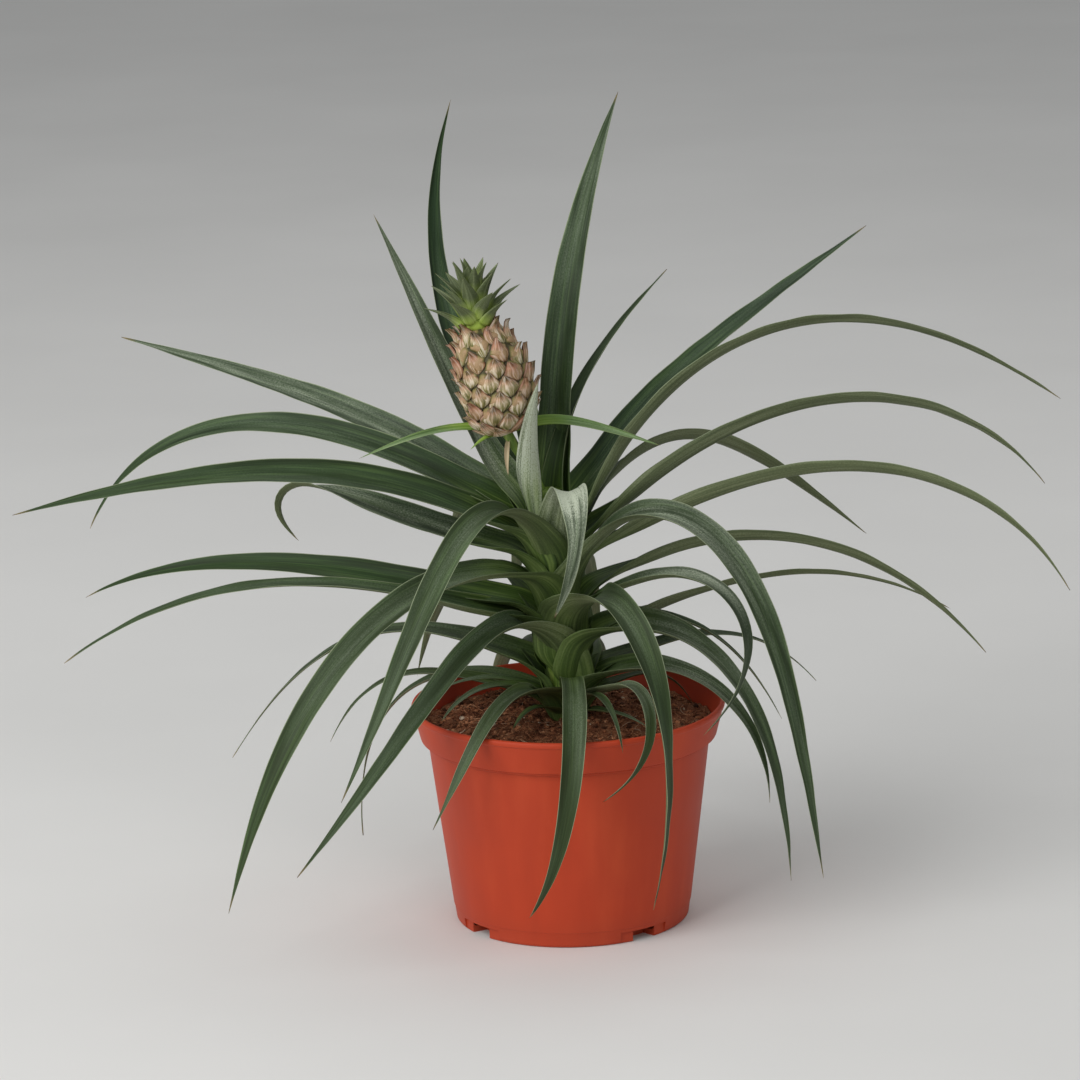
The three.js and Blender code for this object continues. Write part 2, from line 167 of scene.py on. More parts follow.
POT_PROFILE = [
    (0, 1.2), (44, 1.2), (46, 1), (47, 0.3), (48, 0), (54.6, 0), (55.4, 0.3), (55.9, 1), (56.05, 2),
    (56.85, 7.3), (56.95, 7.5), (57.1, 7.6), (57.15, 7.8), (62.3, 48), (67.2, 87.2), (67.3, 87.8),
    (67.55, 88.3), (68.2, 88.5), (69, 88.55), (69.3, 88.8), (69.3, 89.5), (69.5, 89.75), (70.3, 89.8),
    (70.75, 90), (70.95, 90.5), (74.0, 102.4), (74.25, 103), (74.8, 103.5), (75, 104.2), (75, 105),
    (74.75, 105.6), (74.2, 105.95), (73.5, 106), (72.9, 105.7), (72.6, 105), (72.3, 103.6),
    (69.4, 91.4), (69, 90.6), (66.2, 89.6), (65.8, 88.6), (60.6, 46), (55, 4), (54, 3.2), (52.5, 2.9),
    (0, 2.9),
]
bm = turned(POT_PROFILE, POT_SIDES)
shell = bpy.data.meshes.new("shell")
bm.to_mesh(shell)
bm.free()
shell = bpy.data.objects.new("shell", shell)
bpy.context.scene.collection.objects.link(shell)
# each gap goes through the foot, in the middle of a shallow step round its outside
for length, inner, top in ((STEP_LENGTH, FOOT_RADIUS - STEP_DEPTH, DRAIN_HEIGHT + STEP_OVER),
                           (DRAIN_LENGTH, FOOT_RADIUS - DRAIN_DEPTH, DRAIN_HEIGHT)):
    bm = bmesh.new()
    bmesh.ops.create_cube(bm, size=1)
    bmesh.ops.subdivide_edges(bm, edges=bm.edges, cuts=9, use_grid_fill=True)
    for v in bm.verts:
        turn = math.radians(FIRST_DRAIN) + v.co.y * length / FOOT_RADIUS
        radius = inner + (v.co.x + 0.5) * (FOOT_RADIUS + CUT_OUT - inner)
        v.co = Vector((radius * math.cos(turn), radius * math.sin(turn),
                       (v.co.z + 0.5) * (top + CUT_UNDER) - CUT_UNDER))
    bmesh.ops.spin(bm, geom=bm.verts[:] + bm.edges[:] + bm.faces[:], cent=(0, 0, 0), axis=(0, 0, 1),
                   dvec=(0, 0, 0), angle=1.5 * math.pi, steps=3, use_duplicate=True)
    gaps = bpy.data.meshes.new("gaps")
    bm.to_mesh(gaps)
    bm.free()
    gaps = bpy.data.objects.new("gaps", gaps)
    bpy.context.scene.collection.objects.link(gaps)
    cut = shell.modifiers.new("gaps", "BOOLEAN")
    cut.object = gaps
    cut.operation = "DIFFERENCE"
    cut.solver = "EXACT"
bpy.context.view_layer.update()
bm = bmesh.new()
bm.from_object(shell, bpy.context.evaluated_depsgraph_get())
for cut in shell.modifiers:
    bpy.data.objects.remove(cut.object)
bpy.data.objects.remove(shell)
settle(bm, "moulded_pot", polypropylene, "pot_plastic", "pot", sharp=28)


# ---------- the peat ----------
# The root ball fills the pot: damp reddish-brown peat, pressed down by watering, with crumbs, root
# and coir fibres lying loose on top and a few pale flecks.

PEAT_EDGE = 95
PEAT_CROWN = 99.3
PEAT_RADIUS = 68  # where the surface is down to its edge height
STREWN_RADIUS = 66  # loose bits lie this far out
CRUMBS = 1500
FIBRES = 900


def peat_height(x, y):
    """Height of the peat's lumpy surface: highest round the stem and lowest along the wall."""
    away = math.hypot(x, y)
    level = PEAT_CROWN - (PEAT_CROWN - PEAT_EDGE) * (away / PEAT_RADIUS) ** 1.5
    lumps = noise.noise(Vector((x / 13, y / 13, 3))) * 2.4 + noise.noise(Vector((x / 5, y / 5, 8))) * 1.8
    return level + lumps + noise.noise(Vector((x / 2, y / 2, 5))) * 1.1


# Damp peat: fibrous, so nearly without gloss, and mottled from crumb to crumb.
peat, tree, shader = new_material("damp fibrous peat")
place = add_node(tree, "TexCoord").outputs["Object"]
tone = add_node(tree, "Attribute", attribute_name="tone").outputs["Fac"]
clumps = add_node(tree, "TexNoise", {"Vector": place, "Scale": 170, "Detail": 5, "Roughness": 0.7})
threads = add_node(tree, "TexNoise", {"Vector": place, "Scale": 900, "Detail": 4,
                                      "Distortion": 2.5}).outputs["Fac"]
mixed = add_node(tree, "MixRGB", {"Fac": 0.55, "Color1": clumps.outputs["Fac"], "Color2": threads})
colour = add_node(tree, "ValToRGB", {"Fac": mixed.outputs["Color"]}, ramp=[
    (0.34, "#4B2C20"), (0.45, "#86543B"), (0.55, "#BA8763"), (0.66, "#DFBE9F")]).outputs["Color"]
shade = add_node(tree, "ValToRGB", {"Fac": tone}, ramp=[
    (0.0, "#6B6058"), (0.4, "#B9A79B"), (0.8, "#FFEFE2"), (0.95, "#FFFFFF")]).outputs["Color"]
colour = add_node(tree, "MixRGB", {"Fac": 1, "Color1": colour, "Color2": shade},
                  blend_type="MULTIPLY").outputs["Color"]
fleck = add_node(tree, "MapRange", {"Value": tone, "From Min": 0.93, "From Max": 1.0}).outputs["Result"]
colour = add_node(tree, "MixRGB", {"Fac": fleck, "Color1": colour,
                                   "Color2": srgb("#CDB9A0")}).outputs["Color"]
tree.links.new(colour, shader.inputs["Base Color"])
shader.inputs["Roughness"].default_value = 0.93
shader.inputs["Specular IOR Level"].default_value = 0.25
skin = add_node(tree, "Bump", {"Height": mixed.outputs["Color"], "Strength": 0.9,
                               "Distance": 0.0009}).outputs["Normal"]
tree.links.new(skin, shader.inputs["Normal"])

# closely ringed on top, where peat_height() shapes it, and plain where the pot hides it
surface = [(min(70 * (i / 64), 69.4), PEAT_CROWN) for i in range(65)]
bm = turned([*surface, (69.2, 92.5), (64.6, 85), (54.4, 8), (48, 3), (0, 3)], 200)
tone_layer = bm.verts.layers.float.new("tone")
for v in bm.verts:
    v[tone_layer] = 0.45
    if v.co.z > PEAT_CROWN - 0.01:
        v.co.z = peat_height(v.co.x, v.co.y)
random.seed(11)
scratch = bpy.data.meshes.new("scratch")


def strewn(shapes, count):
    """Joins count loose shapes to the peat, a few dozen at a time, which keeps each step quick."""
    for start in range(0, count, 50):
        few = bmesh.new()
        few.verts.layers.float.new("tone")
        for _ in range(min(50, count - start)):
            away, turn = STREWN_RADIUS * math.sqrt(random.random()), random.uniform(0, 2 * math.pi)
            shapes(few, Vector((away * math.cos(turn), away * math.sin(turn), 0)))
        few.to_mesh(scratch)
        few.free()
        bm.from_mesh(scratch)


def crumb(few, spot):
    """A small rough lump of peat at spot."""
    layer = few.verts.layers.float["tone"]
    lump = bmesh.ops.create_icosphere(few, subdivisions=1, radius=random.uniform(0.35, 1.6))["verts"]
    spot.z = peat_height(spot.x, spot.y) + 0.15
    light = random.random()
    long, deep, turn = random.uniform(0.7, 1.5), random.uniform(0.45, 0.9), random.uniform(0, 6.3)
    for v in lump:
        x, y = v.co.x * long, v.co.y
        v.co = Vector((x * math.cos(turn) - y * math.sin(turn), x * math.sin(turn) + y * math.cos(turn),
                       v.co.z * deep)) * (1 + 0.3 * noise.noise(v.co * 2 + spot)) + spot
        v[layer] = 0.96 + 0.04 * light if light > 0.975 else light * 0.9


def fibre(few, spot):
    """A curled root or coir fibre lying on the peat at spot."""
    layer = few.verts.layers.float["tone"]
    length, thick = random.uniform(4, 15), random.uniform(0.1, 0.24)
    heading, curl = random.uniform(0, 2 * math.pi), random.uniform(-0.12, 0.12)
    tilt, light = random.uniform(0.0, 0.15), random.uniform(0.35, 0.98)
    strand = bmesh.ops.create_grid(few, x_segments=4, y_segments=6, size=0.5)["verts"]
    for v in strand:
        run, ring = v.co.y * length, (v.co.x + 0.5) * 2 * math.pi
        girth = thick if abs(v.co.y) < 0.49 else 0
        bend = heading + curl * run
        x = spot.x + run * math.cos(bend) + girth * math.cos(ring) * math.sin(bend)
        y = spot.y + run * math.sin(bend) - girth * math.cos(ring) * math.cos(bend)
        inside = min(1, PEAT_RADIUS / max(1, math.hypot(x, y)))
        x, y = x * inside, y * inside
        v.co = Vector((x, y, peat_height(x, y) + 0.3 + girth * math.sin(ring)
                       + tilt * (run + length / 2)))
        v[layer] = light
    bmesh.ops.remove_doubles(few, verts=strand, dist=1e-4)


strewn(crumb, CRUMBS)
strewn(fibre, FIBRES)
bpy.data.meshes.remove(scratch)
bmesh.ops.recalc_face_normals(bm, faces=bm.faces)
settle(bm, "peat_root_ball", peat, "peat_soil", "soil")


# ---------- the stem ----------
# The short fleshy stem that carries every leaf, leaning a little to one side. It is ringed by the
# scars of shed leaves and shows only as bright yellow-green between the leaf bases.

STEM_FOOT = 90
STEM_TOP = 211
STEM_RADIUS = 7.6
STEM_LEAN = 0.07  # sideways shift for each millimetre above LEAN_START
LEAN_START = 100
TAPER_START = 150  # the stem narrows above this height
SCAR_SPACING = 8
SCAR_RELIEF = 0.35


def axis_shift(height):
    """Sideways place of the stem's axis at a height."""
    return -STEM_LEAN * max(0, height - LEAN_START)


# Fresh stem tissue: soft, so light goes a little way into it, with fine upright fibres.
stem_tissue, tree, shader = new_material("fresh stem tissue")
place = add_node(tree, "TexCoord").outputs["Object"]
upright = add_node(tree, "Mapping", {"Vector": place, "Scale": (1, 1, 0.15)}).outputs["Vector"]
fibres = add_node(tree, "TexNoise", {"Vector": upright, "Scale": 700, "Detail": 3}).outputs["Fac"]
colour = add_node(tree, "ValToRGB", {"Fac": fibres}, ramp=[
    (0.3, "#55702A"), (0.5, "#6F8B36"), (0.7, "#93A852")]).outputs["Color"]
tree.links.new(colour, shader.inputs["Base Color"])
shader.inputs["Roughness"].default_value = 0.5
skin = add_node(tree, "Bump", {"Height": fibres, "Strength": 0.3, "Distance": 0.0003}).outputs["Normal"]
tree.links.new(skin, shader.inputs["Normal"])

profile = [(0, STEM_FOOT)]
for height in range(STEM_FOOT, STEM_TOP, 2):
    scar = SCAR_RELIEF if (height - STEM_FOOT) % SCAR_SPACING == 0 else 0
    profile.append((STEM_RADIUS - 0.008 * max(0, height - TAPER_START) ** 1.25 + scar, height))
profile.append((0, STEM_TOP))
bm = turned(profile, 40)
for v in bm.verts:
    v.co.x += axis_shift(v.co.z)
settle(bm, "fleshy_stem", stem_tissue, "stem_tissue", "stem")


# ---------- the leaves ----------
# Tough strap leaves in a spiral, each one piece: a sheath that clasps the stem, then a channelled
# blade that arches over and runs out to a fine tip. Smooth dark green above, grey-green below.

# Name, bearing in degrees (0 is +X, 90 is +Y), height where it leaves the stem, length, pitch at the
# base and at the tip, where the bend sits and how far it spreads (shares of the length), sideways
# sweep of the tip, width, roll about the midrib, and for a twisted blade the roll it gains and the
# share of its length where that starts. In most rows the numbers from bearing to sweep weren't
# chosen by hand: a fitting program made them.
LEAVES = [
    ("heart_pale", 215, 190, 78, 76, 92, 0.5, 0.6, 16, 15, -60),
    ("heart_narrow", 48, 197, 40, 108, 68, 0.25, 0.1, 4, 9, 0),
    ("upright_1", 66, 201, 210, 89, 42, 0.5, 0.45, -1, 20, -10),
    ("upright_2", 122, 191, 237, 38, 99, 0.8, 0.3, -33, 18, 0),
    ("upright_3", 139, 197, 166, 34, 60, 0.15, 0.15, 6, 15, 25),
    ("upright_4", 56, 189, 151, 110, 30, 0.15, 0.4, -12, 12, 20),
    ("left_01", 146, 191, 258, 33, 7, 0.1, 0.45, -1, 19, 30),
    ("left_02", 165, 192, 258, 31, -66, 0.95, 0.6, -10, 18, 40),
    ("right_01", 41, 187, 240, 57, 21, 0.15, 0.3, 0, 20, -5),
    ("right_02", 21, 180, 317, 67, -36, 0.4, 0.45, 2, 17, 30),
    ("right_03", 44, 184, 236, 47, -38, 0.3, 0.27, -8, 14, 35),
    ("back_1", 103, 184, 195, 62, -20, 0.45, 0.5, 0, 17, 0),
    ("left_03", 189, 183, 257, 37, -12, 0.2, 0.55, 0, 19, 45),
    ("right_04", 12, 178, 276, 45, -53, 0.85, 0.85, 18, 18, 35),
    ("left_04", 176, 176, 156, 19, -130, 0.83, 0.09, -14, 18, 40, -85, 0.5),
    ("left_05", 238, 172, 224, 73, -59, 0.23, 0.22, -21, 18, 10),
    ("centre", 285, 172, 139, 80, -130, 0.48, 0.22, -9, 20, 0, -70, 0.35),
    ("right_05", 1, 173, 271, 31, -62, 0.8, 0.57, 5, 16, 40),
    ("back_2", 106, 168, 225, 40, -55, 0.4, 0.5, 0, 17, 0),
    ("back_3", 97, 162, 205, 30, -60, 0.4, 0.5, 0, 17, 0),
    ("left_06", 221, 164, 258, 33, -84, 0, 0.8, -35, 20, 20),
    ("right_06", 326, 155, 280, 79, -80, 0.25, 0.26, -2, 19, -20),
    ("right_07", 17, 155, 238, 32, -52, 0.3, 0.95, 0, 14, 35),
    ("left_07", 170, 151, 230, 13, -29, 1.2, 0.6, -6, 17, 40),
    ("right_08", 335, 150, 164, 35, -133, 0.58, 0.3, -13, 14, -10),
    ("left_08", 189, 143, 239, 21, -35, 0.75, 0.5, -3, 13, 15),
    ("back_4", 82, 146, 180, 30, -70, 0.4, 0.5, 0, 15, 0),
    ("back_5", 118, 148, 180, 25, -65, 0.4, 0.5, 0, 15, 0),
    ("right_09", 297, 140, 229, 72, -118, 0, 0.6, 5, 18, -10, 55, 0.3),
    ("right_10", 30, 135, 226, 14, -32, 0.7, 0.5, 3, 10, 30),
    ("back_6", 93, 134, 190, 25, -78, 0.4, 0.5, 0, 15, 0),
    ("right_11", 14, 132, 128, 44, -65, 0.15, 0.6, -6, 9, -10),
    ("right_12", 344, 130, 193, 54, -87, 0, 0.5, -1, 15, -20),
    ("left_09", 229, 117, 212, 102, -48, 0.12, 0.22, -32, 17, 10),
    ("left_10", 152, 119, 210, 23, -57, 0.45, 0.42, 2, 11, 20),
    ("right_13", 24, 117, 138, 19, -51, 0.7, 0.45, 0, 9, -10),
    ("back_7", 110, 118, 150, 22, -80, 0.4, 0.45, 0, 13, 0),
    ("back_8", 78, 116, 145, 22, -80, 0.4, 0.45, 0, 13, 0),
    ("front", 276, 115, 178, 35, -135, 0.38, 0.65, -27, 15, 0),
    ("right_14", 341, 111, 136, 44, -90, 0.35, 0.8, 1, 13, -20),
    ("left_11", 166, 107, 131, 14, -63, 0.65, 0.27, -9, 8, 20),
    ("left_12", 191, 110, 56, 30, -23, 0.65, 0.55, 1, 7, 10),
    ("left_13", 206, 111, 64, 24, -50, 0.7, 0.45, 1, 8, 10),
    ("right_15", 302, 107, 138, 25, -140, 0.65, 0.2, -27, 10, 0),
    ("left_14", 153, 106, 172, 22, -90, 0.45, 0.45, -9, 8, 20),
    ("left_15", 242, 108, 123, 31, -60, 0.4, 0.28, -17, 12, 0),
    ("right_16", 20, 107, 70, 20, -58, 0.6, 0.28, 9, 7, 0),
    ("right_17", 288, 107, 82, 27, -72, 0.8, 0.4, 1, 6, 0),
    ("right_18", 309, 104, 48, 8, -16, 0.7, 0.3, 3, 6, 0),
    ("left_16", 239, 104, 35, 20, -79, 0.8, 0.3, -8, 6, 0),
]

# White dust, with the painted sheen that goes with it, on the leaves that have more or less of it than
# their neighbours.
DUST_AND_SHEEN = {
    "heart_pale": 8, "heart_narrow": 0.8, "centre": 2.8, "left_01": 0.4, "left_04": 0.5,
    "left_05": 0.14, "left_07": 0.0, "right_06": 0.5, "right_08": 0.55, "right_12": 0.4,
    "right_14": 0.4, "front": 0.16, "upright_1": 0.3, "upright_3": 1.0,
}

BASE_RADIUS = 8  # where a midrib starts, out from the stem's axis
SHEATH_RADIUS = 7.4  # the same at the sheath's lower end
SHEATH_JOINS = 17  # the sheath's own curve meets the midrib this far along
SHEATH_STATION = 2.6  # spacing of the sections along a sheath
SHORT_LEAF = 110  # leaves under this length leave the sheath sooner
HEART_TAIL = 6  # length of the sheath below the base, on the young leaves of the heart
LOW_LEAVES = 145  # leaves that start below this height are the oldest
AROUND = 28  # points round a blade's section
STATION = 3.2  # spacing of the sections along a blade
TWIST_SPAN = 0.35  # share of the length that a twist is spread over
THIN_BLADE = 0.35  # thickness at the tip
KEEL = 1.15  # added to it at the base


def ease(low, high, value):
    """Smooth step from 0 at low to 1 at high."""
    share = min(1, max(0, (value - low) / (high - low)))
    return share * share * (3 - 2 * share)


def midrib(row, base):
    """The blade's midrib from where it leaves the stem, as points a station apart."""
    _, bearing, _, length, rise, fall, at, spread, sweep = row[:9]
    turn = math.radians(bearing)
    outward = Vector((math.cos(turn), math.sin(turn), 0))
    side = Vector((-math.sin(turn), math.cos(turn), 0))
    before, after = math.tanh(-at / spread), math.tanh((1 - at) / spread)
    count = max(14, round(length / STATION))
    trail, plane = [base.copy()], base.copy()
    for i in range(count):
        share = (i + 0.5) / count
        bend = (math.tanh((share - at) / spread) - before) / (after - before)
        pitch = math.radians(rise + (fall - rise) * bend)
        plane += outward * (math.cos(pitch) * length / count)
        plane.z += math.sin(pitch) * length / count
        trail.append(plane + side * sweep * ((i + 1) / count) ** 2)
    return trail, outward, side


def with_sheath(trail, step, tail, outward):
    """Leads the midrib in from a foot tail below its base, up along the stem and out."""
    joins = max(2, round(SHEATH_JOINS / step))
    end, ahead = trail[joins], (trail[joins + 1] - trail[joins - 1]).normalized()
    low = trail[0].z - tail
    foot = outward * SHEATH_RADIUS + Vector((axis_shift(low), 0, low))
    start = (outward * 0.14 + Vector((0, 0, 1))).normalized()
    run = (end - foot).length
    count = round((tail + joins * step) / SHEATH_STATION)
    lead = []
    for k in range(count):
        u = k / count
        lead.append((-tail + (tail + joins * step) * u,
                     foot * (2 * u**3 - 3 * u**2 + 1) + start * run * (u**3 - 2 * u**2 + u)
                     + end * (3 * u**2 - 2 * u**3) + ahead * run * (u**3 - u**2)))
    return lead + [(i * step, p) for i, p in enumerate(trail)][joins:]


def sheath_size(name, height, width, tail):
    """Half the width a sheath is drawn out to, and how far up the blade it takes to narrow."""
    if tail <= HEART_TAIL or name == "front":
        # slim, as these hardly clasp the stem
        return 0.3 * width, 76 if height < LOW_LEAVES else 56
    if height < LOW_LEAVES:
        # the old leaves low on the stem have the broadest sheaths
        return min(20, 1.35 * width), 76
    return min(17, 0.9 * width), 56


def blade(row, base, tail, tone, dust_and_sheen_amount, bm=None, taper=(2.2, 1.1)):
    """A closed channelled blade. tail is how far its sheath runs down the stem below the base."""
    bearing, length, width = row[1], row[3], row[9]
    trail, outward, side = midrib(row, base)
    step = length / (len(trail) - 1)
    points = with_sheath(trail, step, tail, outward) if tail else [
        (i * step, p) for i, p in enumerate(trail)]
    last = len(points) - 1
    bm = bm or bmesh.new()
    uv = bm.loops.layers.uv.verify()
    layers = {key: bm.verts.layers.float.get(key) or bm.verts.layers.float.new(key)
              for key in ("across", "along", "reach", "face", "tone", "dust_and_sheen_amount")}
    made = bmesh.ops.create_grid(bm, x_segments=AROUND, y_segments=last, size=0.5, calc_uvs=True)
    seed = Vector((bearing * 0.37, length * 0.11, 4.2))
    places = {}
    for k, (s, point) in enumerate(points):
        ahead = (points[min(k + 1, last)][1] - points[max(k - 1, 0)][1]).normalized()
        flat = (side - ahead * side.dot(ahead)).normalized()
        up = ahead.cross(flat)
        t = min(1, max(0, s / length))
        half = 0.5 * width * (1 - t ** taper[0]) ** taper[1]
        fold = math.radians(2 * (14 + 34 * (1 - t) ** 2))
        twist = row[11] * ease(row[12], row[12] + TWIST_SPAN, t) if len(row) > 11 else 0
        roll, sink = math.radians(row[10] + twist), 0.5
        if tail:
            # the sheath is wider than the blade and curls round whatever it clasps
            sheath, reach = sheath_size(row[0], row[2], width, tail)
            half += (sheath - half) * (1 - ease(-4, min(reach, 0.45 * length), s)) ** 1.2
            half *= math.sin(math.pi / 2 * min(1, (s + tail) / (0.75 * tail) + 0.02))
            away = point - Vector((axis_shift(point.z), 0, 0))
            wrap = min(1.4, half / max(8.5, math.hypot(away.x, away.y)))
            short = min(1, length / SHORT_LEAF)
            fold = wrap + (fold - wrap) * ease(6 * short, 52 * short, s)
            roll *= ease(6 * short, 62 * short, s)
            sink *= ease(4 * short, 46 * short, s)
        else:
            half *= min(1, 0.6 + s / (0.3 * length))
        half = half * (1 + 0.035 * noise.noise(seed + Vector((s / 23, 0, 0)))) + 0.1
        roll += math.radians(8) * t * noise.noise(seed + Vector((s / 60, 5, 0)))
        thick = (THIN_BLADE + KEEL * (1 - t) ** 0.8) * min(1, width / 11)
        if k in (0, last):
            half, thick = 0, 0
        crease = 0.4 * ease(10, 60, s) if tail else 0.35
        rim = half * (1 - math.cos(fold)) / fold
        wave = 0.6 * (ease(10, 60, s) if tail else 0.2)
        for i in range(AROUND + 1):
            c = -math.cos(2 * math.pi * i / AROUND)
            upper = 1 if i <= AROUND / 2 else -1
            angle = c * fold
            x = half * math.sin(angle) / fold
            y = half * (1 - math.cos(angle)) / fold * (1 - crease) + rim * (abs(c) * crease - sink)
            y += wave * c * c * noise.noise(seed + Vector((s / 17, c * 2, 9)))
            body = 0.5 * thick * (1 - 0.6 * abs(c)) * math.sqrt(max(0, 1 - c ** 8)) * upper
            x, y = x - body * math.sin(angle), y + body * math.cos(angle)
            x, y = x * math.cos(roll) + y * math.sin(roll), y * math.cos(roll) - x * math.sin(roll)
            places[i, k] = point + flat * x + up * y, c, s, t, upper
    for v in made["verts"]:
        i, k = round((v.co.x + 0.5) * AROUND), round((v.co.y + 0.5) * last)
        v.co, c, s, t, upper = places[i, k]
        v[layers["across"]], v[layers["along"]], v[layers["reach"]] = c, s * MM, t
        v[layers["face"]] = upper * (1 - abs(c) ** 6)
        v[layers["tone"]], v[layers["dust_and_sheen_amount"]] = tone, dust_and_sheen_amount
        for loop in v.link_loops:
            loop[uv].uv = ((c * width / 2 + bearing) * MM, s * MM)
    bmesh.ops.remove_doubles(bm, verts=made["verts"], dist=1e-3)
    return bm


def leaf_material(name, upper, lower, base, green, margin, tip):
    """Leaf skin along its own UV, in metres: u runs across the blade and v from base to tip."""
    material, tree, shader = new_material(name)
    mapped = add_node(tree, "UVMap").outputs["UV"]
    read = {key: add_node(tree, "Attribute", attribute_name=key).outputs["Fac"]
            for key in ("across", "along", "reach", "face", "tone", "dust_and_sheen_amount")}
    # veins 0.7 mm apart, drawn out lengthwise
    lines = add_node(tree, "Mapping", {"Vector": mapped, "Scale": (1400, 18, 1)}).outputs["Vector"]
    veins = add_node(tree, "TexNoise", {"Vector": lines, "Scale": 1, "Detail": 3,
                                        "Roughness": 0.6}).outputs["Fac"]
    wide = add_node(tree, "Mapping", {"Vector": mapped, "Scale": (260, 14, 1)}).outputs["Vector"]
    bands = add_node(tree, "TexNoise", {"Vector": wide, "Scale": 1, "Detail": 4}).outputs["Fac"]
    grains = add_node(tree, "Mapping", {"Vector": mapped, "Scale": (1, 0.45, 1)}).outputs["Vector"]
    scurf = add_node(tree, "TexNoise", {"Vector": grains, "Scale": 2200, "Detail": 3,
                                        "Roughness": 0.7}).outputs["Fac"]
    long = add_node(tree, "Mapping", {"Vector": mapped, "Scale": (120, 13, 1)}).outputs["Vector"]
    patches = add_node(tree, "TexNoise", {"Vector": long, "Scale": 1, "Detail": 5,
                                          "Roughness": 0.6}).outputs["Fac"]
    streaks = add_node(tree, "MixRGB", {"Fac": 0.5, "Color1": veins, "Color2": bands}).outputs["Color"]
    topside = add_node(tree, "ValToRGB", {"Fac": streaks}, ramp=upper).outputs["Color"]
    shading = add_node(tree, "MapRange", {"Value": patches, "From Min": 0.35, "From Max": 0.65,
                                          "To Min": 0.65, "To Max": 1.35}).outputs["Result"]
    topside = add_node(tree, "MixRGB", {"Fac": 1, "Color1": topside, "Color2": shading},
                       blend_type="MULTIPLY").outputs["Color"]
    below = add_node(tree, "MixRGB", {"Fac": 0.3, "Color1": streaks, "Color2": scurf}).outputs["Color"]
    underside = add_node(tree, "ValToRGB", {"Fac": below}, ramp=lower).outputs["Color"]
    sided = add_node(tree, "MapRange", {"Value": read["face"], "From Min": -0.4, "From Max": 0.4})
    side = sided.outputs["Result"]
    colour = add_node(tree, "MixRGB", {"Fac": side, "Color1": underside, "Color2": topside})
    # older leaves turn olive
    aged = add_node(tree, "MixRGB", {"Fac": read["tone"], "Color1": colour.outputs["Color"],
                                     "Color2": srgb("#63683C")}).outputs["Color"]
    # white scurf, a dust of tiny scales: it lies along the veins and is rubbed off in patches
    drawn = add_node(tree, "MixRGB", {"Fac": 0.3, "Color1": scurf, "Color2": veins}).outputs["Color"]
    grain = add_node(tree, "MapRange", {"Value": drawn, "From Min": 0.43, "From Max": 0.6,
                                        "To Min": 0.15, "To Max": 1.0}).outputs["Result"]
    rubbed = add_node(tree, "MapRange", {"Value": patches, "From Min": 0.4, "From Max": 0.62,
                                         "To Min": 0.15, "To Max": 1.4}).outputs["Result"]
    dust_and_sheen = add_node(tree, "Math", {0: grain, 1: rubbed}, operation="MULTIPLY").outputs["Value"]
    dust_and_sheen = add_node(tree, "Math", {0: dust_and_sheen, 1: read["dust_and_sheen_amount"]}, operation="MULTIPLY").outputs["Value"]
    # dust settles where a blade lies level, and runs off where it hangs; the same mask paints sheen,
    # so the parts that face up come out paler, as if lit from above
    lie = add_node(tree, "NewGeometry").outputs["Normal"]
    lie = add_node(tree, "SeparateXYZ", {"Vector": lie}).outputs["Z"]
    level = add_node(tree, "MapRange", {"Value": lie, "From Min": 0.3, "From Max": 0.9,
                                        "To Min": 0.3, "To Max": 1.4}).outputs["Result"]
    dust_and_sheen = add_node(tree, "Math", {0: dust_and_sheen, 1: level}, operation="MULTIPLY").outputs["Value"]
    # the leaf bases, covered by the leaves around them, get less of the pale mask: they gather less
    # dust, and the darker bases paint the shade that falls there
    away_from_base = add_node(tree, "MapRange", {"Value": read["along"], "From Min": 0.004,
                                            "From Max": 0.04, "To Min": 0.35}).outputs["Result"]
    dust_and_sheen = add_node(tree, "Math", {0: dust_and_sheen, 1: away_from_base}, operation="MULTIPLY").outputs["Value"]
    # the pale grey-green laid on by this mask: white scurf dust, and on the parts facing up, painted
    # sheen
    aged = add_node(tree, "MixRGB", {"Fac": dust_and_sheen, "Color1": aged,
                                     "Color2": srgb("#B2B9A5")}).outputs["Color"]
    # brighter green near the base, where the next leaf's sheath keeps the light off
    ragged = 0.8 * (green[1] - green[0])
    uneven = add_node(tree, "Math", {0: patches, 1: ragged, 2: read["along"]}, operation="MULTIPLY_ADD")
    pale = add_node(tree, "MapRange", {
        "Value": uneven.outputs["Value"], "From Min": green[0] + ragged / 2,
        "From Max": green[1] + ragged / 2, "To Min": 0.92, "To Max": 0.0})
    foot = add_node(tree, "ValToRGB", {"Fac": streaks}, ramp=base).outputs["Color"]
    colour = add_node(tree, "MixRGB", {"Fac": pale.outputs["Result"], "Color1": aged, "Color2": foot})
    # a thin pale edge, wider where the blade runs out to its tip
    edge = add_node(tree, "Math", {0: read["across"]}, operation="ABSOLUTE").outputs["Value"]
    edge = add_node(tree, "Math", {0: read["reach"], 1: 0.08, 2: edge}, operation="MULTIPLY_ADD")
    edge = add_node(tree, "MapRange", {"Value": edge.outputs["Value"], "From Min": 0.98,
                                       "From Max": 1.02, "To Max": 0.75}).outputs["Result"]
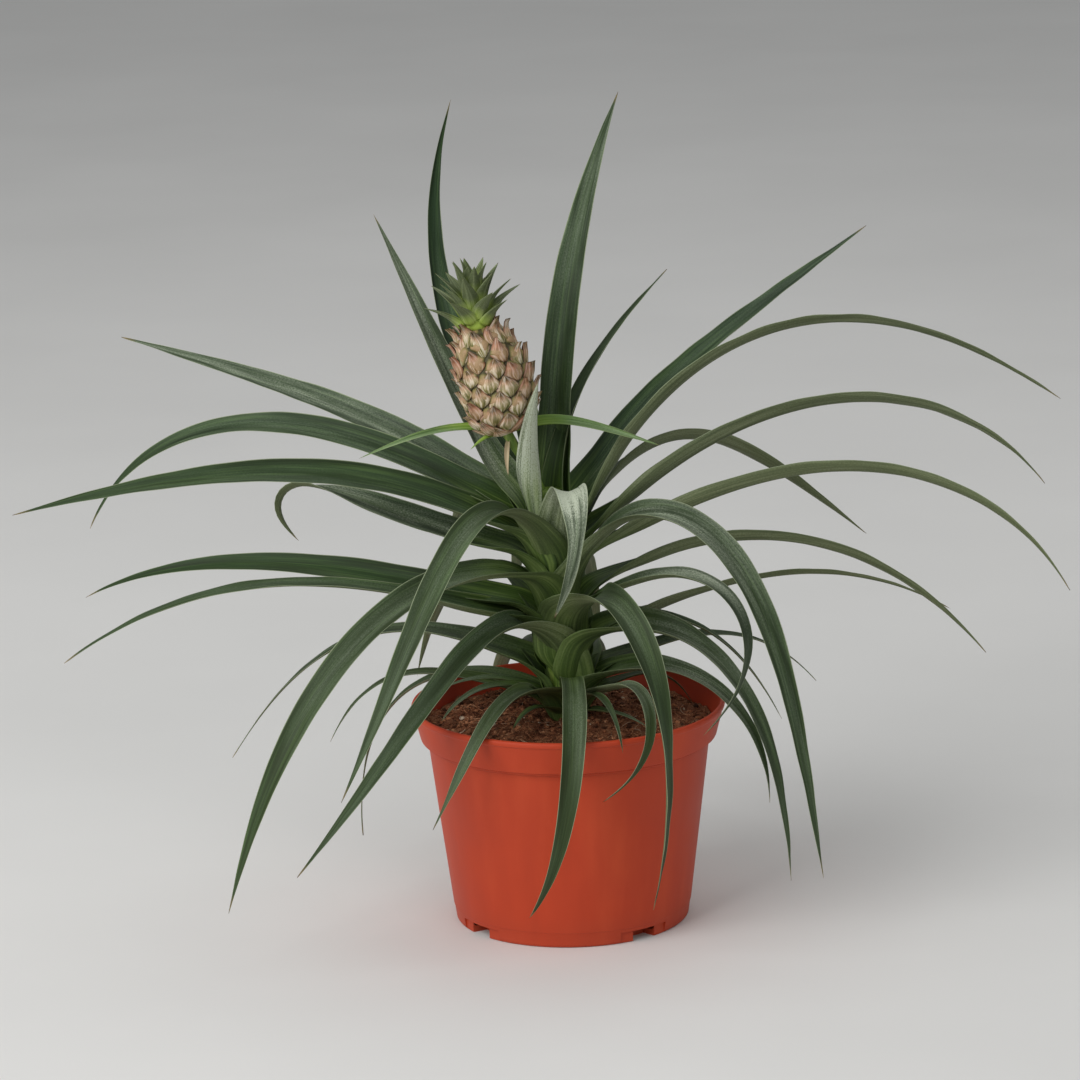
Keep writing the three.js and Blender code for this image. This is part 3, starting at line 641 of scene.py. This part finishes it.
    # the edges of the sheaths stay green
    freed = add_node(tree, "MapRange", {"Value": read["along"], "From Min": 0.02,
                                        "From Max": 0.06, "To Min": 0.2}).outputs["Result"]
    edge = add_node(tree, "Math", {0: edge, 1: freed}, operation="MULTIPLY").outputs["Value"]
    colour = add_node(tree, "MixRGB", {"Fac": edge, "Color1": colour.outputs["Color"],
                                       "Color2": srgb(margin)}).outputs["Color"]
    dry = add_node(tree, "MapRange", {"Value": read["reach"], "From Min": 0.962, "From Max": 0.995,
                                      "To Max": 0.85})
    colour = add_node(tree, "MixRGB", {"Fac": dry.outputs["Result"], "Color1": colour,
                                       "Color2": srgb(tip)}).outputs["Color"]
    tree.links.new(colour, shader.inputs["Base Color"])
    gloss = add_node(tree, "MapRange", {"Value": side, "To Min": 0.62, "To Max": 0.5}).outputs["Result"]
    matt = add_node(tree, "Math", {0: dust_and_sheen, 1: 0.3, 2: gloss}, operation="MULTIPLY_ADD")
    tree.links.new(matt.outputs["Value"], shader.inputs["Roughness"])
    shader.inputs["Specular IOR Level"].default_value = 0.2
    skin = add_node(tree, "Bump", {"Height": veins, "Strength": 0.35, "Distance": 0.0003})
    skin = add_node(tree, "Bump", {"Height": bands, "Strength": 0.3, "Distance": 0.0008,
                                   "Normal": skin.outputs["Normal"]}).outputs["Normal"]
    tree.links.new(skin, shader.inputs["Normal"])
    return material


# A waxed cuticle over dark tissue above, and below it scurf that makes the green look greyed.
strap_leaf = leaf_material(
    "pineapple leaf",
    upper=[(0.34, "#162B18"), (0.5, "#233A1E"), (0.66, "#40592F")],
    lower=[(0.38, "#485238"), (0.5, "#626C4C"), (0.62, "#878F6E")],
    base=[(0.4, "#354E1A"), (0.5, "#547029"), (0.6, "#7F9748")],
    green=(-0.02, 0.046), margin="#9CA686", tip="#97835C")

random.seed(5)
for row in LEAVES:
    name, bearing, height = row[:3]
    turn = math.radians(bearing)
    base = Vector((axis_shift(height) + BASE_RADIUS * math.cos(turn), BASE_RADIUS * math.sin(turn),
                   height))
    # the oldest leaves, lowest on the stem, are the most olive
    age = 0.12 * (1 - (height - 104) / 97) + random.uniform(0, 0.1)
    # leaves that lean out to the front, on the lit side, get more of the pale mask: white dust, and
    # painted sheen
    dust_and_sheen_amount = random.uniform(0.12, 0.28) if 200 < bearing < 350 else random.uniform(0.04, 0.17)
    tail = HEART_TAIL if name.startswith("heart") else min(24, 1.3 * row[9])
    settle(blade(row, base, tail, age, DUST_AND_SHEEN.get(name, dust_and_sheen_amount)), f"strap_{name}", strap_leaf,
           "leaf_blade", f"leaf_{name}")


# ---------- the fruit stalk and its bracts ----------
# A smooth round stalk that grows out of the middle of the leaves and bends up to the fruit. Thin
# bright bracts stand out under the fruit, and one of them has dried.

STALK_RADIUS = 2.2
STALK_FLARE = 0.6  # wider at both ends
STALK_WAIST = 0.25  # share of its width lost in the middle
STALK_STEPS = 24
STALK_POINTS = [Vector((axis_shift(208), 0, 200)), Vector((-13, -1.5, 216)), Vector((-20, -3.5, 228)),
                Vector((-27.5, -4, 241.5))]
STALK_SIDES = 20


def stalk_point(share):
    """A point on the smooth curve through the stalk's points."""
    last = len(STALK_POINTS) - 1
    k = min(int(share * last), last - 1)
    u = share * last - k
    p = [STALK_POINTS[max(0, min(last, k + j))] for j in (-1, 0, 1, 2)]
    return 0.5 * (2 * p[1] + (p[2] - p[0]) * u + (2 * p[0] - 5 * p[1] + 4 * p[2] - p[3]) * u**2
                  + (3 * p[1] - p[0] - 3 * p[2] + p[3]) * u**3)


bm = bmesh.new()
ring = bmesh.ops.create_circle(bm, cap_ends=True, segments=STALK_SIDES,
                               radius=STALK_RADIUS + STALK_FLARE)["verts"]
first = stalk_point(0)
bmesh.ops.translate(bm, vec=first, verts=ring)
here, way = first, Vector((0, 0, 1))
for k in range(1, STALK_STEPS + 1):
    share = k / STALK_STEPS
    there = stalk_point(share)
    ahead = (stalk_point(min(1, share + 0.02)) - stalk_point(share - 0.02)).normalized()
    rim = [e for e in bm.edges if e.verts[0] in ring and e.verts[1] in ring]
    grown = bmesh.ops.extrude_edge_only(bm, edges=rim)["geom"]
    ring = [g for g in grown if isinstance(g, bmesh.types.BMVert)]
    bmesh.ops.translate(bm, vec=there - here, verts=ring)
    bmesh.ops.rotate(bm, cent=there, matrix=way.rotation_difference(ahead).to_matrix(), verts=ring)
    # slimmer in the middle, and spread again under the fruit
    wide = ((1 - STALK_WAIST * math.sin(math.pi * k / STALK_STEPS))
            / (1 - STALK_WAIST * math.sin(math.pi * (k - 1) / STALK_STEPS)))
    bmesh.ops.scale(bm, vec=(wide,) * 3, space=Matrix.Translation(-there), verts=ring)
    here, way = there, ahead
bmesh.ops.holes_fill(bm, edges=bm.edges, sides=STALK_SIDES)
bmesh.ops.recalc_face_normals(bm, faces=bm.faces)
settle(bm, "smooth_stalk", stem_tissue, "stalk", "fruit_stalk")

# Young bract tissue: thin and bright, like the leaves but with hardly any scurf.
bract_leaf = leaf_material(
    "fresh bract",
    upper=[(0.38, "#44602F"), (0.5, "#5A783B"), (0.62, "#7D9456")],
    lower=[(0.38, "#4F6635"), (0.5, "#6B8048"), (0.62, "#8F9F6C")],
    base=[(0.38, "#64862A"), (0.5, "#82A236"), (0.62, "#A5BE58")],
    green=(0.008, 0.03), margin="#9DAF7B", tip="#A39A68")
# A bract that has dried: papery, the colour of straw.
dry_bract = leaf_material(
    "dried bract",
    upper=[(0.34, "#8C7A58"), (0.5, "#AD9B7A"), (0.66, "#C8BA9A")],
    lower=[(0.36, "#8C7A58"), (0.5, "#A89673"), (0.64, "#C8BA9A")],
    base=[(0.35, "#A8A070"), (0.5, "#BDB686"), (0.65, "#D2CBA0")],
    green=(-0.002, 0.004), margin="#C8BA9A", tip="#7A5A3C")
# As the leaves' rows, with the share of the way up the stalk in place of a height, and the material.
BRACTS = [
    ("right", 8, 0.93, 74, 22, -20, 0.2, 0.3, -6, 8, -35, bract_leaf),
    ("left", 186, 0.95, 70, 12, -22, 0.3, 0.4, 0, 6, 30, bract_leaf),
    ("small", 215, 0.9, 21, 8, -35, 0.5, 0.4, 0, 5, 0, bract_leaf),
    ("dry", 250, 0.85, 18, -55, -78, 0.5, 0.6, 2, 3, 0, dry_bract),
]
for *row, material in BRACTS:
    turn = math.radians(row[1])
    base = stalk_point(row[2]) + 1.4 * Vector((math.cos(turn), math.sin(turn), 0))
    bm = blade(row, base, 0, 0.0, 0.3)
    settle(bm, f"thin_bract_{row[0]}", material, "bract", f"bract_{row[0]}")


# ---------- the fruit ----------
# A young fruit, grown as a spiral of eyes that have merged into one body. Each eye is a domed pad
# with a papery pointed bract over its lower half, and green-brown creases, deepened with painted shade,
# run between the eyes.

FRUIT_BASE = Vector((-27, -4, 239.5))
FRUIT_TOP = Vector((-39, -4, 289.5))
FRUIT_HEIGHT = (FRUIT_TOP - FRUIT_BASE).length
FRUIT_LEAN = Vector((0, 0, 1)).rotation_difference((FRUIT_TOP - FRUIT_BASE).normalized()).to_matrix()
FRUIT_BOW = 2.4  # the fruit's middle stands this far to one side of the line through its ends
FRUIT_OUTLINE = [(0, 6), (0.03, 9), (0.09, 12), (0.17, 14.2), (0.3, 15.7), (0.45, 16), (0.6, 15.5),
                 (0.74, 14.1), (0.86, 11.7), (0.94, 9.5), (1, 7)]
EYES = 62
EYE_PITCH = 9.6
EYE_SWELL = 2.3  # how far an eye's pad stands out of the creases
FRUIT_ROWS = 110
FRUIT_SIDES = 210
SLICES = 200  # the fruit's skin is measured out to the eyes in this many slices
COLLAR = 9  # small bracts round the foot of the crown
BRACT_GRID = 10  # cells each way in a bract
BRACT_THICK = 0.3
WIDEST = 0.35  # share of a bract's length where it is widest
GOLDEN_TURN = math.pi * (3 - math.sqrt(5))


def barrel(share):
    """Radius of the fruit under its eyes, at a share of its height."""
    for (low, narrow), (high, wide) in zip(FRUIT_OUTLINE, FRUIT_OUTLINE[1:]):
        if share <= high:
            return narrow + (wide - narrow) * (share - low) / (high - low)
    return FRUIT_OUTLINE[-1][1]


def on_barrel(share, turn, out=0.0):
    """A point on the upright fruit, out from its surface."""
    radius = barrel(share) + out
    return Vector((radius * math.cos(turn), radius * math.sin(turn), share * FRUIT_HEIGHT))


def to_fruit_axis(bm):
    """Leans an upright shape onto the fruit's own axis."""
    for v in bm.verts:
        share = min(1, max(0, v.co.z / FRUIT_HEIGHT))
        v.co.x += FRUIT_BOW * 4 * share * (1 - share)
    bmesh.ops.rotate(bm, cent=(0, 0, 0), matrix=FRUIT_LEAN, verts=bm.verts)
    bmesh.ops.translate(bm, vec=FRUIT_BASE, verts=bm.verts)


# equal areas of skin for every eye
slices = []
for i in range(1, SLICES):
    share = i / SLICES
    slope = (SLICES / 2) * (barrel(share + 1 / SLICES) - barrel(share - 1 / SLICES)) / FRUIT_HEIGHT
    slices.append(barrel(share) * math.hypot(1, slope))
total = sum(slices)
eyes, run, k = [], 0.0, 0
for i, area in enumerate(slices):
    run += area
    while k < EYES and run / total > (k + 0.5) / EYES:
        eyes.append(((i + 1) / SLICES, k * GOLDEN_TURN + 2.2))
        k += 1
tree_of_eyes = kdtree.KDTree(len(eyes))
for k, (share, turn) in enumerate(eyes):
    tree_of_eyes.insert(on_barrel(share, turn), k)
tree_of_eyes.balance()

# Young fruit skin: downy, so soft in its shine, orange-pink in the eyes and green-brown round them;
# the creases between the eyes are darkened further with painted shade.
fruit_skin, tree, shader = new_material("young pineapple skin")
place = add_node(tree, "TexCoord").outputs["Object"]
crease = add_node(tree, "Attribute", attribute_name="crease").outputs["Fac"]
blush = add_node(tree, "TexNoise", {"Vector": place, "Scale": 260, "Detail": 3}).outputs["Fac"]
down = add_node(tree, "TexNoise", {"Vector": place, "Scale": 1500, "Detail": 4}).outputs["Fac"]
shifted = add_node(tree, "Math", {0: blush, 1: 0.5, 2: crease}, operation="MULTIPLY_ADD")
colour = add_node(tree, "ValToRGB", {"Fac": shifted.outputs["Value"]}, ramp=[
    (0.25, "#A88A66"), (0.45, "#8A7A48"), (0.75, "#655F2E"), (1.1, "#453F1E")]).outputs["Color"]
colour = add_node(tree, "MixRGB", {"Fac": 0.3, "Color1": colour, "Color2": down},
                  blend_type="OVERLAY").outputs["Color"]
tree.links.new(colour, shader.inputs["Base Color"])
shader.inputs["Roughness"].default_value = 0.6
skin = add_node(tree, "Bump", {"Height": down, "Strength": 0.5, "Distance": 0.0004}).outputs["Normal"]
tree.links.new(skin, shader.inputs["Normal"])

profile = [(0, 0)]
profile += [(barrel(i / FRUIT_ROWS), i / FRUIT_ROWS * FRUIT_HEIGHT) for i in range(FRUIT_ROWS + 1)]
profile += [(0, FRUIT_HEIGHT)]
bm = turned(profile, FRUIT_SIDES)
crease_layer = bm.verts.layers.float.new("crease")
for v in bm.verts:
    nearest, second = tree_of_eyes.find_n(v.co, 2)
    gap = min(1, (second[2] - nearest[2]) / EYE_PITCH)
    middle = Vector(nearest[0])
    # darkest in the creases between the eyes, the skin's own green-brown deepened by painted shade, and
    # a little darker on each pad's upper part
    v[crease_layer] = 1 - ease(0.0, 0.3, gap) * (1 - 0.35 * ease(1, 5, v.co.z - middle.z))
    share = v.co.z / FRUIT_HEIGHT
    level = ease(0.0, 0.05, share) * (1 - ease(0.95, 1.0, share))
    out = Vector((v.co.x, v.co.y, 0))
    if out.length > 1:
        v.co += out.normalized() * level * EYE_SWELL * (1 - (1 - gap) ** 2.4)
to_fruit_axis(bm)
settle(bm, "fruit_body", fruit_skin, "fruit_skin", "fruit")

# The papery bract of an eye: cream streaked with olive and pink, brown at its point and edges.
paper_bract, tree, shader = new_material("papery fruit bract")
mapped = add_node(tree, "UVMap").outputs["UV"]
tone = add_node(tree, "Attribute", attribute_name="tone").outputs["Fac"]
across = add_node(tree, "Attribute", attribute_name="across").outputs["Fac"]
lines = add_node(tree, "Mapping", {"Vector": mapped, "Scale": (10, 1.6, 1)}).outputs["Vector"]
streak = add_node(tree, "TexNoise", {"Vector": lines, "Scale": 1, "Detail": 4}).outputs["Fac"]
upward = add_node(tree, "SeparateXYZ", {"Vector": mapped}).outputs["Y"]
ragged = add_node(tree, "Math", {0: streak, 1: 0.5, 2: upward}, operation="MULTIPLY_ADD")
body = add_node(tree, "ValToRGB", {"Fac": streak}, ramp=[
    (0.37, "#454A1F"), (0.44, "#7A7140"), (0.51, "#B5A27C"), (0.6, "#EDE2CE")]).outputs["Color"]
point = add_node(tree, "ValToRGB", {"Fac": ragged.outputs["Value"]}, ramp=[
    (0.22, "#48521F"), (0.45, "#7C7A44"), (0.7, "#CBB899"), (0.92, "#C8907A"), (1.1, "#8F4C3A"),
    (1.22, "#50281D")])
colour = add_node(tree, "MixRGB", {"Fac": 0.45, "Color1": body, "Color2": point.outputs["Color"]})
colour = add_node(tree, "MixRGB", {"Fac": tone, "Color1": colour.outputs["Color"],
                                   "Color2": srgb("#A45F4B")}).outputs["Color"]
rim = add_node(tree, "MapRange", {"Value": across, "From Min": 0.72, "From Max": 1.0, "To Max": 0.75})
colour = add_node(tree, "MixRGB", {"Fac": rim.outputs["Result"], "Color1": colour,
                                   "Color2": srgb("#85543C")}).outputs["Color"]
tree.links.new(colour, shader.inputs["Base Color"])
shader.inputs["Roughness"].default_value = 0.65
shader.inputs["Specular IOR Level"].default_value = 0.3
skin = add_node(tree, "Bump", {"Height": streak, "Strength": 0.8, "Distance": 0.0004}).outputs["Normal"]
tree.links.new(skin, shader.inputs["Normal"])

random.seed(23)
bm = bmesh.new()
uv = bm.loops.layers.uv.verify()
tone_layer = bm.verts.layers.float.new("tone")
across_layer = bm.verts.layers.float.new("across")
# a collar of small ones stands round the foot of the crown
collar = [(0.95, k * math.tau / COLLAR + 0.3) for k in range(COLLAR)]
for k, (share, turn) in enumerate(eyes + collar):
    upper = ease(0.6, 0.9, share)
    small = 0.7 if k >= EYES else 1
    tall = (10.4 + 2.6 * upper) * random.uniform(0.86, 1.12) * small
    wide = (11.9 - 2.6 * upper) * random.uniform(0.88, 1.06) * small
    lift = random.uniform(1.2, 3.6) + 0.3 * upper
    skew = random.uniform(-3.2, 3.2) * (1 - 0.5 * upper)
    blush = max(0, random.uniform(-0.35, 0.46))
    made = bmesh.ops.create_grid(bm, x_segments=BRACT_GRID, y_segments=BRACT_GRID, size=0.5)["verts"]
    faces = {f for v in made for f in v.link_faces}
    for v in made:
        x, t = v.co.x * 2, v.co.y + 0.5
        # widest a third of the way up, then drawn in to a point
        if t < WIDEST:
            breadth = math.sin(math.pi / 2 * min(1, t / WIDEST * 0.75 + 0.25))
        else:
            breadth = (1 - (t - WIDEST) / (1 - WIDEST)) ** (0.92 + 0.25 * upper)
        half = 0.5 * wide * breadth + 0.02
        climb = share + (t * tall - 5.4 + 0.9 * x * x * (1 - t)) / FRUIT_HEIGHT
        climb = max(climb, 0.004 * t)
        radius = max(5, barrel(min(1, max(0, climb))))
        # the top rows stand up off the fruit's shoulder
        radius += upper * t * max(0, barrel(share) - radius)
        crinkle = noise.noise(Vector((x * 2.6 + 9 * k, t * 2, 3))) * 0.8
        dome = 0.3 + 2.1 * math.sin(math.pi * (0.12 + 0.5 * min(1, t * 1.3))) * (1 - 0.9 * abs(x) ** 1.4)
        dome += 0.5 * t * max(0, 1 - 4 * abs(x)) + crinkle
        out = dome + lift * t ** 3 - 0.6 * upper * t
        round_at = turn + (x * half + skew * t ** 2) / radius
        v.co = Vector(((radius + out) * math.cos(round_at), (radius + out) * math.sin(round_at),
                       climb * FRUIT_HEIGHT))
        v[tone_layer], v[across_layer] = blush, abs(x)
        for loop in v.link_loops:
            loop[uv].uv = (x / 2 + 7 * k, t)
    bmesh.ops.solidify(bm, geom=list(faces), thickness=BRACT_THICK)
bmesh.ops.recalc_face_normals(bm, faces=bm.faces)
to_fruit_axis(bm)
settle(bm, "fruit_eye_bracts", paper_bract, "fruit_skin", "fruit")


# ---------- the crown ----------
# The tuft on top of the fruit: short pointed leaves in a tight spiral on a stubby core, bright
# yellow-green where they join it and grey-green above.

crown_leaf = leaf_material(
    "crown leaf",
    upper=[(0.38, "#414F28"), (0.5, "#5A683A"), (0.62, "#838D5A")],
    lower=[(0.38, "#414C2D"), (0.5, "#5B6642"), (0.62, "#858E68")],
    base=[(0.38, "#97B23E"), (0.5, "#B6CF5C"), (0.62, "#D0E08A")],
    green=(0.0, 0.0095), margin="#A9B58C", tip="#8C7148")
CROWN_LEAVES = 28
bm = turned([(0, 0), (5.4, 0), (5.6, 2), (5.2, 8), (4.2, 14), (2.6, 20), (0, 22)], 24)
for key in ("across", "along", "reach", "face", "tone", "dust_and_sheen_amount"):
    layer = bm.verts.layers.float.new(key)
    for v in bm.verts:
        v[layer] = 0.0
random.seed(31)
for k in range(CROWN_LEAVES):
    share = k / (CROWN_LEAVES - 1)
    turn = k * GOLDEN_TURN + 0.9
    out = 5.2 - 3.4 * share
    base = Vector((out * math.cos(turn), out * math.sin(turn), 0.6 + 19 * share))
    long = (21 + 4 * math.sin(math.pi * share) - 6.5 * share) * random.uniform(0.92, 1.08)
    lean_out = random.uniform(-6, 6)
    row = ("crown", math.degrees(turn), 0, long, 50 + 36 * share + lean_out, 22 + 44 * share + lean_out,
           0.4, 0.5, random.uniform(-2, 2), 13.5 - 3.5 * share, 0)
    blade(row, base, 0, 0.0, 0.55, bm, taper=(1.2, 0.95))
# the crown grows more upright than the fruit
bmesh.ops.rotate(bm, cent=(0, 0, 0), matrix=Matrix.Rotation(math.radians(-4), 3, "Y"), verts=bm.verts)
bmesh.ops.translate(bm, vec=FRUIT_TOP - Vector((0, 0, 0.6)), verts=bm.verts)
settle(bm, "crown_tuft", crown_leaf, "crown_leaf", "crown")


# ---------- the studio ----------
# A pale floor and three square soft lights: the large main one high in front on the left, a weak one
# in front a little to the right, and a weak one high behind. The camera looks slightly down on the
# plant from the front.

floor_mesh = bpy.data.meshes.new("floor")
bm = bmesh.new()
bmesh.ops.create_grid(bm, x_segments=1, y_segments=1, size=9)
bm.to_mesh(floor_mesh)
bm.free()
paper, tree, shader = new_material("pale studio paper")
place = add_node(tree, "TexCoord").outputs["Object"]
tint = add_node(tree, "TexNoise", {"Vector": place, "Scale": 4, "Detail": 3}).outputs["Fac"]
colour = add_node(tree, "ValToRGB", {"Fac": tint}, ramp=[(0.3, "#DFDEDB"), (0.7, "#E4E3E0")])
tree.links.new(colour.outputs["Color"], shader.inputs["Base Color"])
shader.inputs["Roughness"].default_value = 0.9
floor_mesh.materials.append(paper)
floor = bpy.data.objects.new("floor", floor_mesh)
bpy.context.scene.collection.objects.link(floor)
floor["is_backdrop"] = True

world = bpy.data.worlds.new("studio")
world.use_nodes = True
world.node_tree.nodes["Background"].inputs["Color"].default_value = srgb("#E6E8EA")
world.node_tree.nodes["Background"].inputs["Strength"].default_value = 0.38
bpy.context.scene.world = world
bpy.context.scene.view_settings.view_transform = "Standard"


def softbox(name, spot, size, power):
    """A square lamp at spot, facing the middle of the plant."""
    lamp = bpy.data.lights.new(name, "AREA")
    lamp.size = size
    lamp.energy = power
    lit = bpy.data.objects.new(name, lamp)
    aim = Vector((0, 0, 0.18)) - Vector(spot)
    lit.matrix_world = Matrix.Translation(spot) @ aim.to_track_quat("-Z", "Y").to_matrix().to_4x4()
    bpy.context.scene.collection.objects.link(lit)


softbox("key", (-1.5, -1.3, 1.5), 1.8, 43)
softbox("fill", (0.7, -2.0, 1.5), 1.4, 8)
softbox("top", (0.2, 1.0, 2.0), 1.2, 7)

DISTANCE = 2.6
ELEVATION = math.radians(14)
TILT = math.radians(1.4)
target = Vector((-0.0115, 0, 0.1852))
back = Vector((0, -math.cos(ELEVATION), math.sin(ELEVATION)))
level = Vector((1, 0, 0))
raised = back.cross(level)
across = level * math.cos(TILT) - raised * math.sin(TILT)
upright = level * math.sin(TILT) + raised * math.cos(TILT)
lens = bpy.data.cameras.new("camera")
lens.sensor_width = 36
lens.lens = 182.73
camera = bpy.data.objects.new("camera", lens)
camera.matrix_world = Matrix.Translation(target + back * DISTANCE) @ Matrix(
    (across, upright, back)).transposed().to_4x4()
bpy.context.scene.collection.objects.link(camera)
bpy.context.scene.camera = camera

low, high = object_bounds()
